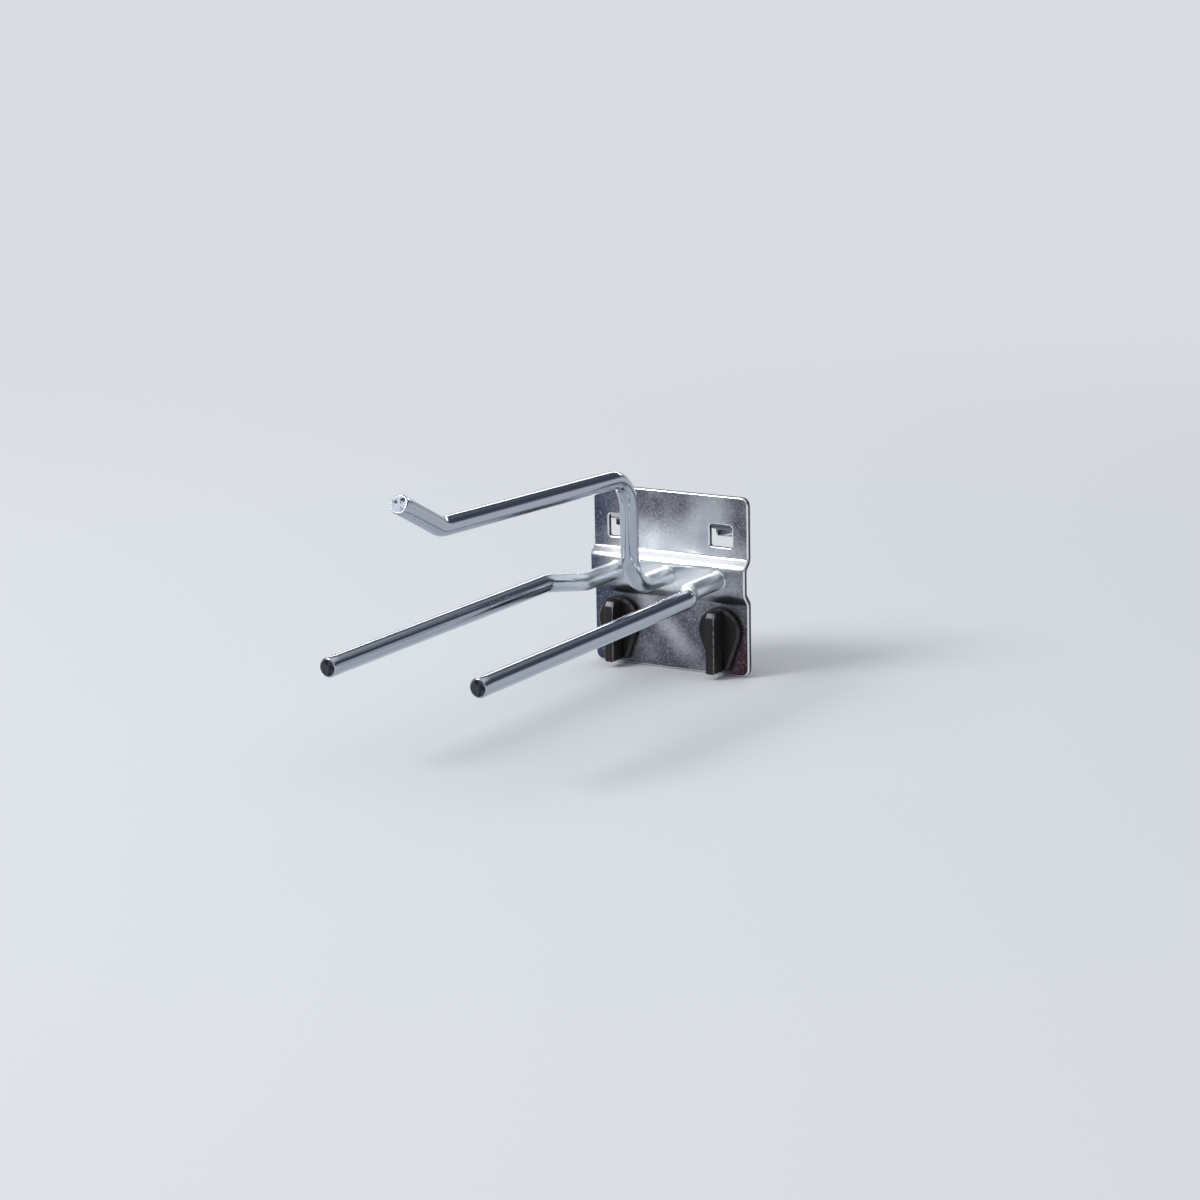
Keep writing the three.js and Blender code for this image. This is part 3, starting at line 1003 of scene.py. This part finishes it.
def drawn_zinc_wire(sizes):
    """Drawn steel wire, bright zinc plated after bending.

    Glossy with faint drawing lines along it, and matt and whitish near the plate.
    """
    material, tree = new_material("drawn_zinc_wire")
    place = add_node(tree, "ShaderNodeAttribute", attribute_name="before_bending").outputs["Vector"]
    frost = add_node(tree, "ShaderNodeAttribute", attribute_name="frost").outputs["Fac"]
    lines = long_streaks(tree, place, LINE_SPACING, LINE_LENGTH, 2)
    colours = (sizes.bright, sizes.frost)
    finish_zinc(tree, frost, colours, WIRE_ROUGHNESSES, lines, LINE_RELIEF)
    return material


def sheared_wire_end(sizes):
    """The wire's sheared end, thinly zinc plated.

    Smooth and grey where the blade cut it, that grey darkened partly by painted shade, and dark
    where the steel tore.
    """
    material, tree = new_material("sheared_wire_end")
    place = add_node(tree, "ShaderNodeAttribute", attribute_name="before_bending").outputs["Vector"]
    spots = add_node(
        tree, "ShaderNodeTexNoise", {"Vector": place, "Scale": 1 / TORN_SPOT, "Detail": 3}
    )
    torn = add_node(
        tree,
        "ShaderNodeMapRange",
        dict(zip(RANGE_INPUTS, (spots.outputs["Fac"], *TORN_SHARES))),
        interpolation_type="SMOOTHSTEP",
    )
    share = torn.outputs["Result"]
    colours = (sizes.end, sizes.torn)
    finish_zinc(tree, share, colours, END_ROUGHNESSES, spots.outputs["Fac"], TORN_RELIEF)
    return material


def moulded_black_nylon(sizes):
    """Injection moulded polyamide, as it leaves the mould.

    Black and matt, with faint upright flow streaks that turn it brown towards the tail.
    """
    material, tree = new_material("moulded_black_nylon")
    place = add_node(tree, "ShaderNodeTexCoord").outputs["Object"]
    split = add_node(tree, "ShaderNodeSeparateXYZ", {"Vector": place})
    streaks = long_streaks(tree, place, STREAK_SPACING, STREAK_LENGTH, 3)
    grain = add_node(
        tree, "ShaderNodeTexNoise", {"Vector": place, "Scale": 1 / MOULD_GRAIN, "Detail": 2}
    )
    ranges = [
        (streaks, STREAK_SHARES),
        (split.outputs["Z"], TAIL_FADE),
        (streaks, MOULDED_ROUGHNESS_SHARES),
    ]
    streak, tail, roughness = [
        add_node(
            tree, "ShaderNodeMapRange", dict(zip(RANGE_INPUTS, (pattern, *shares)))
        ).outputs["Result"]
        for pattern, shares in ranges
    ]
    flowed = add_node(tree, "ShaderNodeMath", {0: streak, 1: tail}, operation="MULTIPLY")
    black = add_node(
        tree,
        "ShaderNodeMix",
        {"Factor": flowed.outputs["Value"], "A": opaque(sizes.black), "B": opaque(sizes.streak)},
        data_type="RGBA",
    )
    tint = black.outputs["Result"]
    finish_surface(tree, MOULDED, tint, roughness, grain.outputs["Fac"], GRAIN_RELIEF)
    return material


def nylon_painted_highlight(name, own_colour, painted_highlight):
    """Edges of the moulding, with a patchy grey painted highlight on the polyamide."""
    material, tree = new_material(name)
    place = add_node(tree, "ShaderNodeTexCoord").outputs["Object"]
    highlight_noise = add_node(
        tree, "ShaderNodeTexNoise", {"Vector": place, "Scale": 1 / HIGHLIGHT_PATCH, "Detail": 3}
    )
    inputs = dict(zip(RANGE_INPUTS, (highlight_noise.outputs["Fac"], *HIGHLIGHT_PATCH_SHARES)))
    highlight_share = add_node(tree, "ShaderNodeMapRange", inputs)
    grey = add_node(
        tree,
        "ShaderNodeMix",
        {"Factor": highlight_share.outputs["Result"], "A": opaque(own_colour), "B": opaque(painted_highlight)},
        data_type="RGBA",
    )
    surface = add_node(
        tree,
        "ShaderNodeBsdfPrincipled",
        {"Base Color": grey.outputs["Result"], **PAINTED_HIGHLIGHT_BASE},
    )
    add_node(tree, "ShaderNodeOutputMaterial", {"Surface": surface.outputs["BSDF"]})
    return material


def matt_paper_floor(stage):
    """Matt studio paper: plain and pale, and seamless with the horizon further out.

    Only the camera and reflections see the far part's even brightness, so it adds no light.
    """
    material, tree = new_material("matt_paper_floor")
    place = add_node(tree, "ShaderNodeTexCoord").outputs["Object"]
    distance = add_node(tree, "ShaderNodeVectorMath", {0: place}, operation="LENGTH")
    far = add_node(
        tree,
        "ShaderNodeMapRange",
        {"Value": distance.outputs["Value"], "From Min": FLOOR_NEAR, "From Max": FLOOR_FAR},
        interpolation_type="SMOOTHSTEP",
    )
    path = add_node(tree, "ShaderNodeLightPath")
    seen = 0
    for ray in ("Is Camera Ray", "Is Glossy Ray", "Is Transmission Ray"):
        inputs = {0: seen, 1: path.outputs[ray]}
        seen = add_node(tree, "ShaderNodeMath", inputs, operation="MAXIMUM").outputs["Value"]
    share = add_node(
        tree, "ShaderNodeMath", {0: far.outputs["Result"], 1: seen}, operation="MULTIPLY"
    )
    paper = add_node(tree, "ShaderNodeBsdfDiffuse", {"Color": opaque(stage.floor)})
    glow = add_node(tree, "ShaderNodeEmission", {"Color": opaque(stage.backdrop), "Strength": 1})
    faded = add_node(
        tree,
        "ShaderNodeMixShader",
        {0: share.outputs["Value"], 1: paper.outputs["BSDF"], 2: glow.outputs["Emission"]},
    )
    side = add_node(tree, "ShaderNodeNewGeometry")
    clear = add_node(tree, "ShaderNodeBsdfTransparent")
    seen_from_above = add_node(
        tree,
        "ShaderNodeMixShader",
        {0: side.outputs["Backfacing"], 1: faded.outputs["Shader"], 2: clear.outputs["BSDF"]},
    )
    add_node(tree, "ShaderNodeOutputMaterial", {"Surface": seen_from_above.outputs["Shader"]})
    return material


# Stage


def lay_floor(stage, height):
    """A flat floor under the plate."""
    bm = bmesh.new()
    corners = [(-1, -1), (1, -1), (1, 1), (-1, 1)]
    bm.faces.new([bm.verts.new((x * FLOOR_HALF, y * FLOOR_HALF, 0)) for x, y in corners])
    mesh = bpy.data.meshes.new("floor")
    bm.to_mesh(mesh)
    bm.free()
    mesh.materials.append(matt_paper_floor(stage))
    floor = bpy.data.objects.new("floor", mesh)
    floor.location = (0, 0, height)
    bpy.context.scene.collection.objects.link(floor)


def hang_lamps(stage):
    """Soft area lights that aim at the holder and don't show themselves."""
    for name, place in LAMP_PLACES.items():
        lamp = bpy.data.lights.new(name, "AREA")
        lamp.shape = "RECTANGLE"
        lamp.size, lamp.size_y = LAMP_SIZES[name]
        lamp.energy = getattr(stage, name)
        hung = bpy.data.objects.new(name, lamp)
        hung.location = place
        aim = LAMP_TARGET - hung.location
        hung.rotation_euler = aim.to_track_quat("-Z", "Y").to_euler()
        hung.visible_camera = False
        bpy.context.scene.collection.objects.link(hung)


def studio_world(stage):
    """The studio round the holder: pale horizon, dark walls and a pale ceiling."""
    world = bpy.data.worlds.new("studio")
    world.use_nodes = True
    tree = world.node_tree
    tree.nodes.clear()
    direction = add_node(tree, "ShaderNodeTexCoord")
    split = add_node(tree, "ShaderNodeSeparateXYZ", {"Vector": direction.outputs["Generated"]})
    studio = opaque(stage.backdrop)
    for (low, high), tone in ((WALL_SHARES, stage.walls), (CEILING_SHARES, stage.ceiling)):
        above = add_node(
            tree,
            "ShaderNodeMapRange",
            {"Value": split.outputs["Z"], "From Min": low, "From Max": high},
            interpolation_type="SMOOTHSTEP",
        )
        faded = add_node(
            tree,
            "ShaderNodeMix",
            {"Factor": above.outputs["Result"], "A": studio, "B": opaque(tone)},
            data_type="RGBA",
        )
        studio = faded.outputs["Result"]
    light = add_node(tree, "ShaderNodeBackground", {"Color": studio})
    add_node(tree, "ShaderNodeOutputWorld", {"Surface": light.outputs["Background"]})
    return world


def place_camera():
    """The camera at the photograph's angle."""
    lens = bpy.data.cameras.new("camera")
    lens.lens = CAMERA_LENS
    lens.sensor_width = CAMERA_SENSOR
    camera = bpy.data.objects.new("camera", lens)
    up = -CAMERA_DOWN
    axes = (CAMERA_RIGHT, up, CAMERA_RIGHT.cross(up))
    camera.matrix_world = Matrix.Translation(CAMERA_PLACE) @ Matrix(axes).transposed().to_4x4()
    bpy.context.scene.collection.objects.link(camera)
    bpy.context.scene.camera = camera


# Operators


class PLIERSHOLDER_OT_back_plate(Operator):
    """Presses the zinc-plated back plate with its band, windows and hook tabs"""

    bl_idname = "pliersholder.back_plate"
    bl_label = "Back plate"

    def execute(self, context):
        sizes = context.scene.pliers_holder_plate
        materials = [pressed_zinc_sheet(sizes), sheared_zinc_edge(sizes)]
        plate = add_piece("back_plate_sheet", back_plate_mesh(sizes), materials)
        tabs = [
            (add_piece("hook_tab", hook_tab_mesh(sizes, x), materials), "UNION")
            for x in (-LOCK_SPREAD, LOCK_SPREAD)
        ]
        combine(plate, tabs, SHARP_ANGLE)
        even_shading(plate)
        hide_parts("back_plate")
        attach(plate, "holder")
        return {"FINISHED"}


class PLIERSHOLDER_OT_rods(Operator):
    """Bends the two lower arms and the upper arm from plated wire"""

    bl_idname = "pliersholder.rods"
    bl_label = "Wire rods"

    def execute(self, context):
        sizes = context.scene.pliers_holder_rods
        materials = [drawn_zinc_wire(sizes), sheared_wire_end(sizes)]
        arms = {
            "left_arm": (lower_arm_path(sizes, -1), LOWER_FROST),
            "right_arm": (lower_arm_path(sizes, 1), LOWER_FROST),
            "upper_arm": (upper_arm_path(sizes), UPPER_FROST),
        }
        for node, (path, frost_length) in arms.items():
            rod = add_piece(f"{node}_wire", rod_mesh(path, sizes.radius, frost_length), materials)
            even_shading(rod)
            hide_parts(node)
            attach(rod, "holder")
        return {"FINISHED"}


class PLIERSHOLDER_OT_turn_locks(Operator):
    """Moulds the two black turn locks"""

    bl_idname = "pliersholder.turn_locks"
    bl_label = "Turn locks"

    def execute(self, context):
        sizes = context.scene.pliers_holder_locks
        back = -context.scene.pliers_holder_plate.thickness - LOCK_PLATE_GAP
        front = back - SKIRT_THICKNESS
        root = front + SKIRT_EDGE
        # The second and third materials paint highlights on the grip's edges and the skirt's bevel
        materials = [
            moulded_black_nylon(sizes),
            nylon_painted_highlight("scuffed_nylon_edge", sizes.streak, sizes.painted_highlight),
            nylon_painted_highlight("rubbed_nylon_bevel", sizes.black, sizes.highlighted),
        ]
        for side, x in (("left", -LOCK_SPREAD), ("right", LOCK_SPREAD)):
            place = Vector((x, 0, 0))
            skirt = skirt_mesh(sizes, back)
            lock = add_piece(f"{side}_turn_lock_moulding", skirt, materials, place)
            shapes = [
                (slot_mesh(front, -1), "DIFFERENCE"),
                (slot_mesh(front, 1), "DIFFERENCE"),
                (fin_mesh(sizes, root), "UNION"),
                (neck_mesh(root), "UNION"),
                (nose_mesh(), "UNION"),
            ]
            tools = [
                (add_piece("lock_shape", shape, materials, place), operation)
                for shape, operation in shapes
            ]
            combine(lock, tools, LOCK_SHARP_ANGLE)
            even_shading(lock)
            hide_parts(f"{side}_turn_lock")
            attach(lock, f"{side}_lock")
        return {"FINISHED"}


class PLIERSHOLDER_OT_stage(Operator):
    """Lays the pale floor, sets the soft lights and places the camera"""

    bl_idname = "pliersholder.stage"
    bl_label = "Stage"

    def execute(self, context):
        stage = context.scene.pliers_holder_stage
        lay_floor(stage, -context.scene.pliers_holder_plate.bottom - FLOOR_GAP)
        hang_lamps(stage)
        place_camera()
        context.scene.world = studio_world(stage)
        context.scene.view_settings.view_transform = "Standard"
        return {"FINISHED"}


class VIEW3D_PT_pliers_holder(Panel):
    """Lists the holder's pieces with their sizes and colours"""

    bl_label = "Pliers Holder"
    bl_space_type = "VIEW_3D"
    bl_region_type = "UI"
    bl_category = "Pliers Holder"

    def draw(self, context):
        for operator, group in PIECES:
            box = self.layout.box()
            settings = getattr(context.scene, group)
            for name in settings.bl_rna.properties.keys():
                if name not in ("rna_type", "name"):
                    box.prop(settings, name)
            box.operator(operator.bl_idname)


GROUPS = {
    "pliers_holder_plate": PliersHolderPlate,
    "pliers_holder_rods": PliersHolderRods,
    "pliers_holder_locks": PliersHolderLocks,
    "pliers_holder_stage": PliersHolderStage,
}
PIECES = [
    (PLIERSHOLDER_OT_back_plate, "pliers_holder_plate"),
    (PLIERSHOLDER_OT_rods, "pliers_holder_rods"),
    (PLIERSHOLDER_OT_turn_locks, "pliers_holder_locks"),
    (PLIERSHOLDER_OT_stage, "pliers_holder_stage"),
]


def register():
    for group, kind in GROUPS.items():
        bpy.utils.register_class(kind)
        setattr(bpy.types.Scene, group, PointerProperty(type=kind))
    for operator, _ in PIECES:
        bpy.utils.register_class(operator)
    bpy.utils.register_class(VIEW3D_PT_pliers_holder)


def unregister():
    bpy.utils.unregister_class(VIEW3D_PT_pliers_holder)
    for operator, _ in reversed(PIECES):
        bpy.utils.unregister_class(operator)
    for group, kind in GROUPS.items():
        delattr(bpy.types.Scene, group)
        bpy.utils.unregister_class(kind)


def main():
    register()
    bpy.ops.pliersholder.stage()
    bpy.ops.pliersholder.back_plate()
    bpy.ops.pliersholder.rods()
    bpy.ops.pliersholder.turn_locks()


if __name__ == "__main__":
    main()
